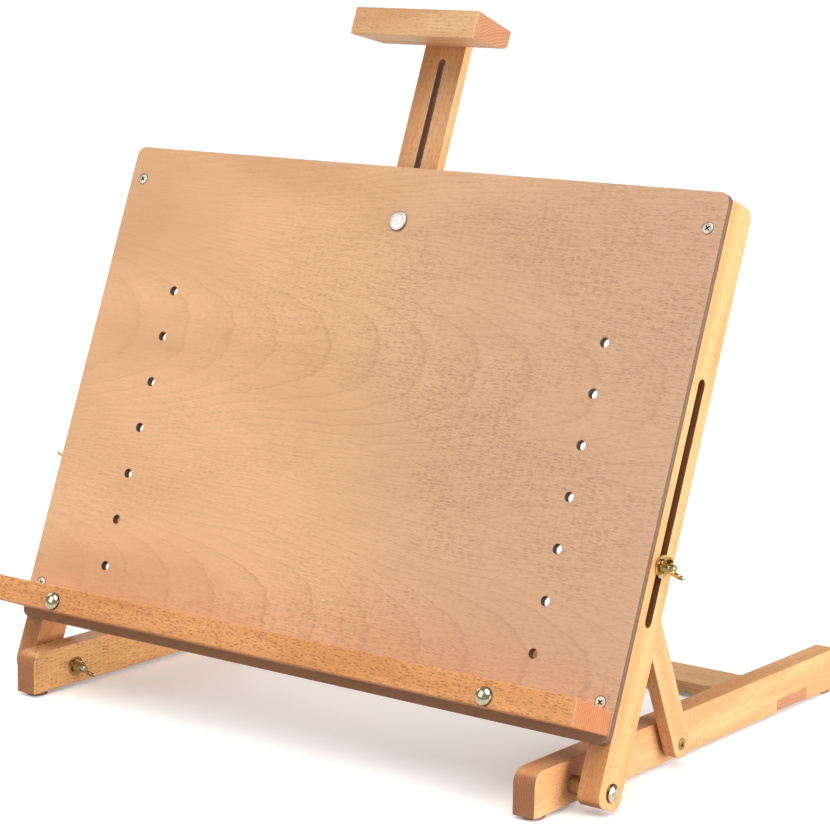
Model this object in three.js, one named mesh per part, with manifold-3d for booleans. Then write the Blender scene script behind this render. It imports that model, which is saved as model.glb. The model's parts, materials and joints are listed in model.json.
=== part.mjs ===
// A tabletop easel: a plywood drawing board on two slotted beech masts, hinged to a pair of base rails
// and propped by two struts, with a bolt-on canvas tray and a sliding centre bar with a clamp block.
//
// Millimetres, +Z up. +X is the painter's right, +Y is the rear, and Z = 0 is the table top.
// Pieces on the base are placed in the base frame, which has its origin below the tilt pivot.
// Pieces on the board are placed in the board frame: x across, y back from the pivot, z up the masts.

import * as THREE from "three";
import { mergeVertices } from "three/addons/utils/BufferGeometryUtils.js";
import Module from "manifold-3d";

const wasm = await Module();
wasm.setup();

// ---------------------------------------------------------------- driving dimensions

const GAP = 0.3; // air between pieces that touch
const EASED_EDGE = 0.8; // radius of a sanded edge
const SIDES = [
  { name: "left", sign: -1 },
  { name: "right", sign: 1 },
];

const LEAN = THREE.MathUtils.degToRad(21.1); // how far the board leans back

// Base rails, which lie on the table from front to back
const FOOT_RADIUS = 10;
const FOOT_HEIGHT = 3.2;
const RAIL_THICKNESS = 22;
const RAIL_HEIGHT = 39;
const RAIL_FRONT = -55;
const RAIL_REAR = 465;
const RAIL_CORNER = 13;
const RAIL_OUTER_X = 295.3;
const RAIL_INNER_X = RAIL_OUTER_X - RAIL_THICKNESS;
const RAIL_BOTTOM = FOOT_HEIGHT + GAP;
const FRONT_FOOT_INSET = 15;
const REAR_FOOT_INSET = 22;

// Flat cross bar, let into the underside of both rails near the rear
const CROSS_FRONT = 343;
const CROSS_WIDTH = 54;
const CROSS_THICKNESS = 11;
const CROSS_RAISE = 1; // underside of the bar above underside of the rails

// Masts: the board's two uprights, hinged outside the rails
const PIVOT_HEIGHT = RAIL_BOTTOM + 17;
const MAST_THICKNESS = 22;
const MAST_DEPTH = 35;
const MAST_BELOW_PIVOT = 14.5;
const MAST_END_CORNER = 11;
const MAST_TOP_CORNER = 9;
const MAST_TOP_FRONT_CORNER = 2;
const MAST_BACK = MAST_DEPTH / 2;
const SLOT_WIDTH = 10.5;
const SLOT_Y = -2; // slot centre line, just in front of the pivot line

// Drawing board
const BOARD_WIDTH = 668;
const BOARD_HEIGHT = 471;
const BOARD_THICKNESS = 7;
const BOARD_CORNER = 9;
const BOARD_FOOT = 35.6; // bottom edge above the pivot, along the masts
const BOARD_BACK = -MAST_BACK - GAP;
const BOARD_FRONT = BOARD_BACK - BOARD_THICKNESS;
const BOARD_TOP = BOARD_FOOT + BOARD_HEIGHT;
const MAST_TOP = BOARD_TOP - 4;
const MAST_OUTER_X = BOARD_WIDTH / 2;
const MAST_INNER_X = MAST_OUTER_X - MAST_THICKNESS;
const SLOT_BOTTOM = BOARD_FOOT + 102.8;
const SLOT_TOP = BOARD_FOOT + 315;
const HOLE_RADIUS = 4.5;
const HOLE_X = 245;
const HOLE_PITCH = 45;
const HOLE_ROWS = 8;
const LOWEST_HOLE = BOARD_FOOT + 17;
const BOARD_SCREW_X = BOARD_WIDTH / 2 - 14.6;
const BOARD_SCREW_HEIGHTS = { lower: BOARD_FOOT + 34, upper: BOARD_TOP - 32 };

// Struts, which prop the masts from the rails
const STRUT_WIDTH = 25;
const STRUT_THICKNESS = 12.3;
const STRUT_SCREW_Y = 146.5;
const STRUT_SCREW_Z = RAIL_BOTTOM + 19.5;
const STRUT_OUTER_X = MAST_INNER_X - GAP;
const STRUT_INNER_X = STRUT_OUTER_X - STRUT_THICKNESS;
const STRUT_BOLT_Z = BOARD_FOOT + 155; // where the strut's bolt crosses the mast's slot
const STRUT_END_RADIUS = 9; // its upper end stops just past the bolt, clear of the board

// Canvas tray, bolted through the lowest row of holes
const TRAY_DEPTH = 57;
const TRAY_FRONT = BOARD_FRONT - GAP - TRAY_DEPTH;
const TRAY_BOTTOM = BOARD_FOOT + 8.3;
const TRAY_BACK_HEIGHT = 19.5;
const TRAY_FRONT_HEIGHT = 23.4;
const TRAY_HALF_WIDTH = BOARD_WIDTH / 2 - 1;
const TRAY_EDGE = 1.2;

// Centre bar and the canvas clamp block at its top
const BAR_WIDTH = 46.5;
const BAR_THICKNESS = 10.2;
const BAR_FRONT = BOARD_BACK + GAP;
const BAR_BACK = BAR_FRONT + BAR_THICKNESS;
const BAR_BOTTOM = BOARD_FOOT + 165;
const BAR_TOP = BOARD_FOOT + 606;
const BAR_CORNER = 4;
const BAR_SLOT_WIDTH = 7;
const BAR_SLOT_BOTTOM = BOARD_FOOT + 190;
const BAR_SLOT_TOP = BOARD_FOOT + 577.3;
const BAR_BOLT_Z = BOARD_FOOT + 420.3;
const BLOCK_WIDTH = 138;
const BLOCK_DEPTH = 54;
const BLOCK_FRONT_HEIGHT = 26;
const BLOCK_BACK_HEIGHT = 17.5;
const BLOCK_CHAMFER = 3.5;
const BLOCK_BACK = BAR_FRONT - GAP;
const BLOCK_SCREW_SPACING = 24;
const GUIDE_WIDTH = 20;
const GUIDE_LENGTH = 110;
const GUIDE_CORNER = 1.5;
const GUIDE_CLEARANCE = 0.6; // each side of the bar
const GUIDE_TOP = BOARD_TOP - 12;

// M6 carriage bolts, washers and wing nuts
const BOLT_RADIUS = 3;
const BOLT_HOLE_RADIUS = BOLT_RADIUS + GAP;
const DOME_RADIUS = 8.25;
const DOME_HEIGHT = 3.8;
const FLAT_HEAD_RADIUS = 9;
const FLAT_HEAD_HEIGHT = 1.8;
const WASHER_THICKNESS = 1.6;
const WASHER_RADIUS = 9;
const SLOT_WASHER_RADIUS = 10;
const BOLT_BEYOND_FACE = 14.5; // bolt end beyond the wood that the washer sits on
const NUT_HUB_RADIUS = 6;
const NUT_HUB_HEIGHT = 7.5;
const NUT_HALF_SPAN = 14.5;
const NUT_WING_TOP = 15.5;
const NUT_WING_THICKNESS = 2.6;
const PIVOT_SPACER_RADIUS = 8;
const STRUT_SPACER_RADIUS = 7;

// How far each kind of wing nut is turned about its bolt, in radians
const PIVOT_NUT_TURN = 0.7;
const SLOT_NUT_TURN = 1.17;
const TRAY_NUT_TURN = 0.7;
const BAR_NUT_TURN = Math.PI / 2;

// Countersunk cross-head wood screws
const SCREW_HEAD_RADIUS = 5.4;
const SCREW_SHANK_RADIUS = 2.2;
const SCREW_HEAD_RISE = 0.7;
const SCREW_HEAD_DEPTH = SCREW_HEAD_RADIUS - SCREW_SHANK_RADIUS;
const SCREW_TIP_LENGTH = 4;
const RECESS_HALF_LENGTH = 3;
const RECESS_HALF_WIDTH = 0.55;
const RECESS_DEPTH = 1.2;
const BOARD_SCREW_LENGTH = 22;
const STRUT_SCREW_LENGTH = 32;
const CROSS_SCREW_LENGTH = 28;
const BLOCK_SCREW_LENGTH = 30;
const FIRST_SCREW_TURN = 0.4; // how far its recess is turned, in radians
const NEXT_SCREW_TURN = 0.5; // how much further each next screw's is

const ROUND_SEGMENTS = 20;
const SCREW_SEGMENTS = 14;
const ARC_SEGMENTS = 6;
const BOARD_ARC_SEGMENTS = 10;

// ---------------------------------------------------------------- materials

function material(name, color, roughness, metalness = 0) {
  return new THREE.MeshStandardMaterial({ name, color, roughness, metalness });
}

const BEECH = material("beech", 0xd9a56a, 0.55);
const PLYWOOD = material("plywood", 0xd8ab83, 0.6);
const ZINC = material("yellow_zinc", 0xc9b06a, 0.3, 1);
const STEEL = material("bright_steel", 0xd6d2c4, 0.25, 1);
const RUBBER = material("rubber", 0x9a5a34, 0.7);

// ---------------------------------------------------------------- solids

/** Turns a closed three.js geometry into a solid that can be joined or cut. */
function toSolid(geometry) {
  const bare = geometry.clone();
  bare.deleteAttribute("normal");
  bare.deleteAttribute("uv");
  const merged = mergeVertices(bare, 1e-4);
  const vertProperties = new Float32Array(merged.attributes.position.array);
  const triVerts = new Uint32Array(merged.index.array);
  return new wasm.Manifold(new wasm.Mesh({ numProp: 3, vertProperties, triVerts }));
}

/** Turns a solid back into a three.js geometry. */
function toGeometry(solid) {
  const mesh = solid.getMesh();
  const geometry = new THREE.BufferGeometry();
  geometry.setAttribute("position", new THREE.BufferAttribute(new Float32Array(mesh.vertProperties), 3));
  geometry.setIndex(new THREE.BufferAttribute(new Uint32Array(mesh.triVerts), 1));
  geometry.computeVertexNormals();
  return geometry;
}

/** Cuts every geometry in the list out of the first one. */
function cut(geometry, tools) {
  const solid = tools.reduce((rest, tool) => rest.subtract(toSolid(tool)), toSolid(geometry));
  return toGeometry(solid);
}

/** Extrudes an outline drawn in (y, z) along X, from x0 to x1. */
function extrudeAcross(outline, x0, x1) {
  const geometry = new THREE.ExtrudeGeometry(outline, {
    depth: x1 - x0,
    bevelEnabled: false,
    curveSegments: ARC_SEGMENTS,
  });
  const turn = new THREE.Matrix4().makeBasis(
    new THREE.Vector3(0, 1, 0),
    new THREE.Vector3(0, 0, 1),
    new THREE.Vector3(1, 0, 0),
  );
  return geometry.applyMatrix4(turn).translate(x0, 0, 0);
}

/** Extrudes an outline drawn in (x, z) towards the front, from yBack to yFront. */
function extrudeForward(outline, yBack, yFront, curveSegments = ARC_SEGMENTS) {
  const geometry = new THREE.ExtrudeGeometry(outline, {
    depth: yBack - yFront,
    bevelEnabled: false,
    curveSegments,
  });
  const turn = new THREE.Matrix4().makeBasis(
    new THREE.Vector3(1, 0, 0),
    new THREE.Vector3(0, 0, 1),
    new THREE.Vector3(0, -1, 0),
  );
  return geometry.applyMatrix4(turn).translate(0, yBack, 0);
}

/** Turns a profile of [x, radius] points about the X axis. */
function turnedAlongX(profile, segments = ROUND_SEGMENTS) {
  const points = profile.map(([x, radius]) => new THREE.Vector2(radius, x));
  return new THREE.LatheGeometry(points, segments).rotateZ(-Math.PI / 2);
}

/** A rod along X from x0 to x1. */
function rodAlongX(radius, x0, x1) {
  return turnedAlongX([[x0, 0], [x0, radius], [x1, radius], [x1, 0]]);
}

/** A rod along Y from y0 to y1, centred on (x, z). */
function rodAlongY(radius, y0, y1, x, z) {
  return rodAlongX(radius, y0, y1).rotateZ(Math.PI / 2).translate(x, 0, z);
}

// ---------------------------------------------------------------- outlines

/** A closed outline whose corners, given as [x, y, radius], are rounded by circular arcs. */
function roundedOutline(corners) {
  const outline = new THREE.Shape();
  corners.forEach(([x, y, radius], index) => {
    const here = new THREE.Vector2(x, y);
    const before = new THREE.Vector2(...corners.at(index - 1).slice(0, 2));
    const after = new THREE.Vector2(...corners[(index + 1) % corners.length].slice(0, 2));
    const back = before.sub(here).normalize();
    const on = after.sub(here).normalize();
    const half = Math.acos(THREE.MathUtils.clamp(back.dot(on), -1, 1)) / 2;
    const reach = radius / Math.tan(half);
    const start = here.clone().addScaledVector(back, reach);
    const end = here.clone().addScaledVector(on, reach);
    if (index === 0) outline.moveTo(start.x, start.y);
    else outline.lineTo(start.x, start.y);
    if (radius > 0) {
      const inward = back.clone().add(on).normalize();
      const centre = here.clone().addScaledVector(inward, radius / Math.sin(half));
      const from = Math.atan2(start.y - centre.y, start.x - centre.x);
      const to = Math.atan2(end.y - centre.y, end.x - centre.x);
      const clockwise = back.cross(on) > 0;
      outline.absarc(centre.x, centre.y, radius, from, to, clockwise);
    }
  });
  outline.closePath();
  return outline;
}

/** A round hole in an outline. */
function roundHole(x, y, radius) {
  const hole = new THREE.Path();
  hole.absarc(x, y, radius, 0, Math.PI * 2, true);
  return hole;
}

/** A slot with round ends, along the outline's second axis. */
function slotHole(x, bottom, top, width) {
  const radius = width / 2;
  const hole = new THREE.Path();
  hole.moveTo(x - radius, bottom + radius);
  hole.absarc(x, top - radius, radius, Math.PI, 0, true);
  hole.absarc(x, bottom + radius, radius, 0, -Math.PI, true);
  return hole;
}

// ---------------------------------------------------------------- hardware, along +X from the wood's face

/** The cross-shaped driver recess, as two crossed bars to cut from a screw's head. */
function driverRecess() {
  const top = SCREW_HEAD_RISE + 1; // past the head, so that the cut is clean
  const bars = [0, Math.PI / 2].map((turn) =>
    new THREE.BoxGeometry(top + RECESS_DEPTH, RECESS_HALF_LENGTH * 2, RECESS_HALF_WIDTH * 2)
      .translate((top - RECESS_DEPTH) / 2, 0, 0)
      .rotateX(turn),
  );
  return toGeometry(toSolid(bars[0]).add(toSolid(bars[1])));
}

/** A countersunk screw whose head lies flush at x = 0 and whose shank runs to x = -length. */
function screwGeometry(length) {
  const profile = [
    [SCREW_HEAD_RISE, 0],
    [SCREW_HEAD_RISE * 0.75, SCREW_HEAD_RADIUS * 0.5],
    [0, SCREW_HEAD_RADIUS],
    [-SCREW_HEAD_DEPTH, SCREW_SHANK_RADIUS],
    [-length + SCREW_TIP_LENGTH, SCREW_SHANK_RADIUS],
    [-length, 0],
  ].reverse();
  return cut(turnedAlongX(profile, SCREW_SEGMENTS), [driverRecess()]);
}

/** The hole that a countersunk screw needs, with its countersink open at x = 0. */
function screwHole(length) {
  const top = 2; // the countersink is carried on past the face, so that the cut is clean
  return turnedAlongX([
    [-length - GAP, 0],
    [-length - GAP, SCREW_SHANK_RADIUS + GAP],
    [-SCREW_HEAD_DEPTH - GAP, SCREW_SHANK_RADIUS + GAP],
    [top, SCREW_HEAD_RADIUS + GAP + top],
    [top, 0],
  ], SCREW_SEGMENTS);
}

/** A bolt with a domed carriage head on the face at x = 0 and a plain shank to x = -length. */
function domedBoltGeometry(length) {
  const steps = 4;
  const rim = GAP + 0.6;
  const profile = [
    [-length, 0],
    [-length, BOLT_RADIUS - 0.5],
    [-length + 0.5, BOLT_RADIUS],
    [GAP, BOLT_RADIUS],
    [GAP, DOME_RADIUS - 0.2],
  ];
  for (let step = 0; step < steps; step++) {
    const angle = (step / steps) * (Math.PI / 2);
    profile.push([rim + DOME_HEIGHT * Math.sin(angle), DOME_RADIUS * Math.cos(angle)]);
  }
  profile.push([rim + DOME_HEIGHT, 0]);
  return turnedAlongX(profile);
}

/** A bolt with a thin flat head on the face at x = 0 and a plain shank to x = -length. */
function flatBoltGeometry(length) {
  return turnedAlongX([
    [-length, 0],
    [-length, BOLT_RADIUS - 0.5],
    [-length + 0.5, BOLT_RADIUS],
    [GAP, BOLT_RADIUS],
    [GAP, FLAT_HEAD_RADIUS],
    [GAP + FLAT_HEAD_HEIGHT * 0.6, FLAT_HEAD_RADIUS],
    [GAP + FLAT_HEAD_HEIGHT, FLAT_HEAD_RADIUS - 0.9],
    [GAP + FLAT_HEAD_HEIGHT, 0],
  ]);
}

/** A plain washer or sleeve round a bolt, from x0 to x1. */
function ringGeometry(radius, x0, x1) {
  return turnedAlongX([
    [x0, BOLT_HOLE_RADIUS],
    [x0, radius],
    [x1, radius],
    [x1, BOLT_HOLE_RADIUS],
    [x0, BOLT_HOLE_RADIUS],
  ]);
}

/** A washer lying on the face at x = 0. */
function washerGeometry(radius) {
  return ringGeometry(radius, GAP, GAP + WASHER_THICKNESS);
}

/** A wing nut that sits on such a washer: a tapered hub with two lobed wings along Z. */
function wingNutGeometry() {
  const base = GAP * 2 + WASHER_THICKNESS;
  const hub = turnedAlongX([
    [base, 0],
    [base, NUT_HUB_RADIUS],
    [base + NUT_HUB_HEIGHT * 0.4, NUT_HUB_RADIUS],
    [base + NUT_HUB_HEIGHT, NUT_HUB_RADIUS - 1.6],
    [base + NUT_HUB_HEIGHT, 0],
  ]);
  const tip = NUT_HALF_SPAN;
  const wings = SIDES.map(({ sign }) => {
    const outline = new THREE.Shape();
    outline.moveTo(1.2, 1);
    outline.lineTo(NUT_HUB_RADIUS, 1);
    outline.quadraticCurveTo(NUT_HUB_RADIUS + 4, 3, tip - 0.6, NUT_WING_TOP - 7);
    outline.quadraticCurveTo(tip + 1.4, NUT_WING_TOP - 0.6, tip - 3, NUT_WING_TOP);
    outline.quadraticCurveTo(tip - 6.4, NUT_WING_TOP - 0.4, NUT_HUB_RADIUS - 0.4, NUT_HUB_HEIGHT - 0.4);
    outline.lineTo(1.2, NUT_HUB_HEIGHT - 0.6);
    outline.closePath();
    const plate = new THREE.ExtrudeGeometry(outline, {
      depth: NUT_WING_THICKNESS,
      bevelEnabled: false,
      curveSegments: 5,
    }).translate(0, 0, -NUT_WING_THICKNESS / 2);
    // the outline's x runs out along the wing, and its y along the bolt
    const turn = new THREE.Matrix4().makeBasis(
      new THREE.Vector3(0, 0, sign),
      new THREE.Vector3(1, 0, 0),
      new THREE.Vector3(0, sign, 0),
    );
    return toSolid(plate.applyMatrix4(turn).translate(base, 0, 0));
  });
  const bore = toSolid(rodAlongX(BOLT_HOLE_RADIUS, base - 1, base + NUT_WING_TOP + 1));
  return toGeometry(toSolid(hub).add(wings[0]).add(wings[1]).subtract(bore));
}

const DIRECTIONS = {
  right: new THREE.Euler(0, 0, 0),
  left: new THREE.Euler(0, 0, Math.PI),
  front: new THREE.Euler(0, 0, -Math.PI / 2),
  back: new THREE.Euler(0, 0, Math.PI / 2),
  down: new THREE.Euler(0, Math.PI / 2, 0),
};

// ---------------------------------------------------------------- scene graph

const easel = new THREE.Group();
const base = new THREE.Group();
const boardFrame = new THREE.Group();
easel.add(base, boardFrame);
boardFrame.position.z = PIVOT_HEIGHT;
boardFrame.rotation.x = -LEAN;

/** Adds a named piece, modelled in its group's own frame. */
function addPiece(group, name, geometry, look) {
  const mesh = new THREE.Mesh(geometry, look);
  mesh.name = name;
  group.add(mesh);
  return mesh;
}

/** Adds a piece of hardware at a point, with its +X turned to the named direction. */
function addHardware(group, name, geometry, look, point, direction, roll = 0) {
  const mesh = addPiece(group, name, geometry, look);
  mesh.position.set(...point);
  mesh.setRotationFromEuler(DIRECTIONS[direction]);
  mesh.rotateX(roll);
  return mesh;
}

// ---------------------------------------------------------------- base

function railOutline() {
  const top = RAIL_BOTTOM + RAIL_HEIGHT;
  const notchTop = RAIL_BOTTOM + CROSS_RAISE + CROSS_THICKNESS + GAP;
  const notchFront = CROSS_FRONT - GAP;
  const notchRear = CROSS_FRONT + CROSS_WIDTH + GAP;
  const outline = roundedOutline([
    [RAIL_FRONT, RAIL_BOTTOM, 0],
    [notchFront, RAIL_BOTTOM, 0],
    [notchFront, notchTop, 0],
    [notchRear, notchTop, 0],
    [notchRear, RAIL_BOTTOM, 0],
    [RAIL_REAR, RAIL_BOTTOM, 0],
    [RAIL_REAR, top, RAIL_CORNER],
    [RAIL_FRONT, top, RAIL_CORNER],
  ]);
  outline.holes.push(roundHole(0, PIVOT_HEIGHT, BOLT_HOLE_RADIUS));
  return outline;
}

const CROSS_MIDDLE_Y = CROSS_FRONT + CROSS_WIDTH / 2;
const CROSS_UNDERSIDE = RAIL_BOTTOM + CROSS_RAISE;
const RAIL_MIDDLE_X = (RAIL_OUTER_X + RAIL_INNER_X) / 2;

function addRail({ name, sign }) {
  const [x0, x1] = [sign * RAIL_INNER_X, sign * RAIL_OUTER_X].sort((a, b) => a - b);
  const block = extrudeAcross(railOutline(), x0, x1);
  const strutScrew = screwHole(STRUT_SCREW_LENGTH)
    .rotateZ(sign > 0 ? 0 : Math.PI)
    .translate(sign * STRUT_OUTER_X, STRUT_SCREW_Y, STRUT_SCREW_Z);
  const crossScrew = screwHole(CROSS_SCREW_LENGTH)
    .rotateY(Math.PI / 2)
    .translate(sign * RAIL_MIDDLE_X, CROSS_MIDDLE_Y, CROSS_UNDERSIDE);
  addPiece(base, `base_rail_${name}`, cut(block, [strutScrew, crossScrew]), BEECH);
}

function addCrossBar() {
  const rear = CROSS_FRONT + CROSS_WIDTH;
  const top = CROSS_UNDERSIDE + CROSS_THICKNESS;
  const outline = roundedOutline([
    [CROSS_FRONT, CROSS_UNDERSIDE, EASED_EDGE],
    [rear, CROSS_UNDERSIDE, EASED_EDGE],
    [rear, top, EASED_EDGE],
    [CROSS_FRONT, top, EASED_EDGE],
  ]);
  const holes = SIDES.map(({ sign }) =>
    screwHole(CROSS_SCREW_LENGTH)
      .rotateY(Math.PI / 2)
      .translate(sign * RAIL_MIDDLE_X, CROSS_MIDDLE_Y, CROSS_UNDERSIDE),
  );
  const bar = extrudeAcross(outline, -RAIL_OUTER_X, RAIL_OUTER_X);
  addPiece(base, "rear_cross_bar", cut(bar, holes), BEECH);
  for (const { name, sign } of SIDES) {
    const point = [sign * RAIL_MIDDLE_X, CROSS_MIDDLE_Y, CROSS_UNDERSIDE];
    addHardware(base, `cross_bar_screw_${name}`, screwGeometry(CROSS_SCREW_LENGTH), ZINC, point, "down");
  }
}

/** A round bumper foot: flat underneath, with a rounded rim. */
function footGeometry() {
  const rim = 1.6;
  const profile = [[FOOT_HEIGHT, 0], [FOOT_HEIGHT, FOOT_RADIUS - 0.6], [rim, FOOT_RADIUS]];
  for (const angle of [Math.PI / 6, Math.PI / 3, Math.PI / 2]) {
    profile.push([rim * (1 - Math.sin(angle)), FOOT_RADIUS - rim * (1 - Math.cos(angle))]);
  }
  profile.push([0, 0]);
  return turnedAlongX(profile.reverse(), 24).rotateY(-Math.PI / 2);
}

function addFeet({ name, sign }) {
  const places = { front: RAIL_FRONT + FRONT_FOOT_INSET, rear: RAIL_REAR - REAR_FOOT_INSET };
  for (const [end, y] of Object.entries(places)) {
    const foot = addPiece(base, `foot_${end}_${name}`, footGeometry(), RUBBER);
    foot.position.set(sign * RAIL_MIDDLE_X, y, 0);
  }
}

/** The carriage bolt that the mast and rail turn on, with its sleeve, washer and wing nut. */
function addPivot({ name, sign }) {
  const outward = sign > 0 ? "right" : "left";
  const inward = sign > 0 ? "left" : "right";
  const length = MAST_OUTER_X - RAIL_INNER_X + BOLT_BEYOND_FACE;
  const outer = [sign * MAST_OUTER_X, 0, PIVOT_HEIGHT];
  const inner = [sign * RAIL_INNER_X, 0, PIVOT_HEIGHT];
  const between = [sign * RAIL_OUTER_X, 0, PIVOT_HEIGHT];
  const sleeve = ringGeometry(PIVOT_SPACER_RADIUS, GAP, MAST_INNER_X - RAIL_OUTER_X - GAP);
  addHardware(base, `pivot_bolt_${name}`, domedBoltGeometry(length), ZINC, outer, outward);
  addHardware(base, `pivot_spacer_${name}`, sleeve, ZINC, between, outward);
  addHardware(base, `pivot_washer_${name}`, washerGeometry(WASHER_RADIUS), ZINC, inner, inward);
  const turn = -sign * PIVOT_NUT_TURN;
  addHardware(base, `pivot_wing_nut_${name}`, wingNutGeometry(), ZINC, inner, inward, turn);
}

// ---------------------------------------------------------------- struts

/** The strut's bolt, as a point in the base frame. */
function strutBoltPoint() {
  const point = new THREE.Vector3(0, SLOT_Y, STRUT_BOLT_Z);
  boardFrame.updateMatrix();
  return point.applyMatrix4(boardFrame.matrix);
}

function addStrut({ name, sign }) {
  const outward = sign > 0 ? "right" : "left";
  const inward = sign > 0 ? "left" : "right";
  const bolt = strutBoltPoint();
  const rise = bolt.z - STRUT_SCREW_Z;
  const reach = STRUT_SCREW_Y - bolt.y;
  const length = Math.hypot(rise, reach);
  const strut = new THREE.Group();
  strut.position.set(0, STRUT_SCREW_Y, STRUT_SCREW_Z);
  strut.rotation.x = Math.atan2(reach, rise);
  easel.add(strut);

  const half = STRUT_WIDTH / 2;
  const end = length + STRUT_END_RADIUS;
  const outline = roundedOutline([
    [-half, -half, half],
    [half, -half, half],
    [half, end, STRUT_END_RADIUS],
    [-half, end, STRUT_END_RADIUS],
  ]);
  outline.holes.push(roundHole(0, length, BOLT_HOLE_RADIUS));
  const [x0, x1] = [sign * STRUT_INNER_X, sign * STRUT_OUTER_X].sort((a, b) => a - b);
  const screwPoint = [sign * STRUT_OUTER_X, 0, 0];
  const screw = screwHole(STRUT_SCREW_LENGTH).rotateZ(sign > 0 ? 0 : Math.PI).translate(...screwPoint);
  addPiece(strut, `strut_${name}`, cut(extrudeAcross(outline, x0, x1), [screw]), BEECH);

  const screwPiece = screwGeometry(STRUT_SCREW_LENGTH);
  addHardware(strut, `strut_screw_${name}`, screwPiece, ZINC, screwPoint, outward, FIRST_SCREW_TURN);
  const spacer = ringGeometry(STRUT_SPACER_RADIUS, GAP, STRUT_INNER_X - RAIL_OUTER_X - GAP);
  addHardware(strut, `strut_spacer_${name}`, spacer, ZINC, [sign * RAIL_OUTER_X, 0, 0], outward);
  const headPoint = [sign * STRUT_INNER_X, 0, length];
  const boltPiece = domedBoltGeometry(STRUT_THICKNESS);
  addHardware(strut, `strut_bolt_${name}`, boltPiece, ZINC, headPoint, inward);
}

/** The threaded end of the strut's bolt in the mast's slot, with its washer and wing nut. */
function addSlotClamp({ name, sign }) {
  const outward = sign > 0 ? "right" : "left";
  const point = [sign * MAST_OUTER_X, SLOT_Y, STRUT_BOLT_Z];
  const stud = rodAlongX(BOLT_RADIUS, -MAST_THICKNESS, BOLT_BEYOND_FACE);
  addHardware(boardFrame, `slot_stud_${name}`, stud, ZINC, point, outward);
  addHardware(boardFrame, `slot_washer_${name}`, washerGeometry(SLOT_WASHER_RADIUS), ZINC, point, outward);
  const turn = sign * SLOT_NUT_TURN;
  addHardware(boardFrame, `slot_wing_nut_${name}`, wingNutGeometry(), ZINC, point, outward, turn);
}

// ---------------------------------------------------------------- board and masts

/** The four board screws' places, as [name, x, z]. */
function boardScrewPlaces() {
  return SIDES.flatMap(({ name, sign }) =>
    Object.entries(BOARD_SCREW_HEIGHTS).map(([row, z]) => [`${row}_${name}`, sign * BOARD_SCREW_X, z]),
  );
}

/** A countersunk hole that runs back from the board's front face. */
function boardScrewHole(x, z) {
  return screwHole(BOARD_SCREW_LENGTH).rotateZ(-Math.PI / 2).translate(x, BOARD_FRONT, z);
}

function addMast({ name, sign }) {
  const front = -MAST_DEPTH / 2;
  const outline = roundedOutline([
    [front, -MAST_BELOW_PIVOT, MAST_END_CORNER],
    [MAST_BACK, -MAST_BELOW_PIVOT, MAST_END_CORNER],
    [MAST_BACK, MAST_TOP, MAST_TOP_CORNER],
    [front, MAST_TOP, MAST_TOP_FRONT_CORNER],
  ]);
  outline.holes.push(roundHole(0, 0, BOLT_HOLE_RADIUS));
  outline.holes.push(slotHole(SLOT_Y, SLOT_BOTTOM, SLOT_TOP, SLOT_WIDTH));
  const [x0, x1] = [sign * MAST_INNER_X, sign * MAST_OUTER_X].sort((a, b) => a - b);
  const screws = boardScrewPlaces()
    .filter(([, x]) => Math.sign(x) === sign)
    .map(([, x, z]) => boardScrewHole(x, z));
  addPiece(boardFrame, `mast_${name}`, cut(extrudeAcross(outline, x0, x1), screws), BEECH);
}

function addBoard() {
  const half = BOARD_WIDTH / 2;
  const outline = roundedOutline([
    [-half, BOARD_FOOT, BOARD_CORNER],
    [half, BOARD_FOOT, BOARD_CORNER],
    [half, BOARD_TOP, BOARD_CORNER],
    [-half, BOARD_TOP, BOARD_CORNER],
  ]);
  for (let row = 0; row < HOLE_ROWS; row++) {
    for (const { sign } of SIDES) {
      outline.holes.push(roundHole(sign * HOLE_X, LOWEST_HOLE + row * HOLE_PITCH, HOLE_RADIUS));
    }
  }
  outline.holes.push(roundHole(0, BAR_BOLT_Z, BOLT_HOLE_RADIUS));
  const sheet = extrudeForward(outline, BOARD_BACK, BOARD_FRONT, BOARD_ARC_SEGMENTS);
  const screws = boardScrewPlaces().map(([, x, z]) => boardScrewHole(x, z));
  addPiece(boardFrame, "drawing_board", cut(sheet, screws), PLYWOOD);
  boardScrewPlaces().forEach(([name, x, z], index) => {
    const point = [x, BOARD_FRONT, z];
    const turn = FIRST_SCREW_TURN + index * NEXT_SCREW_TURN;
    const screw = screwGeometry(BOARD_SCREW_LENGTH);
    addHardware(boardFrame, `board_screw_${name}`, screw, ZINC, point, "front", turn);
  });
}

// ---------------------------------------------------------------- canvas tray

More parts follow.
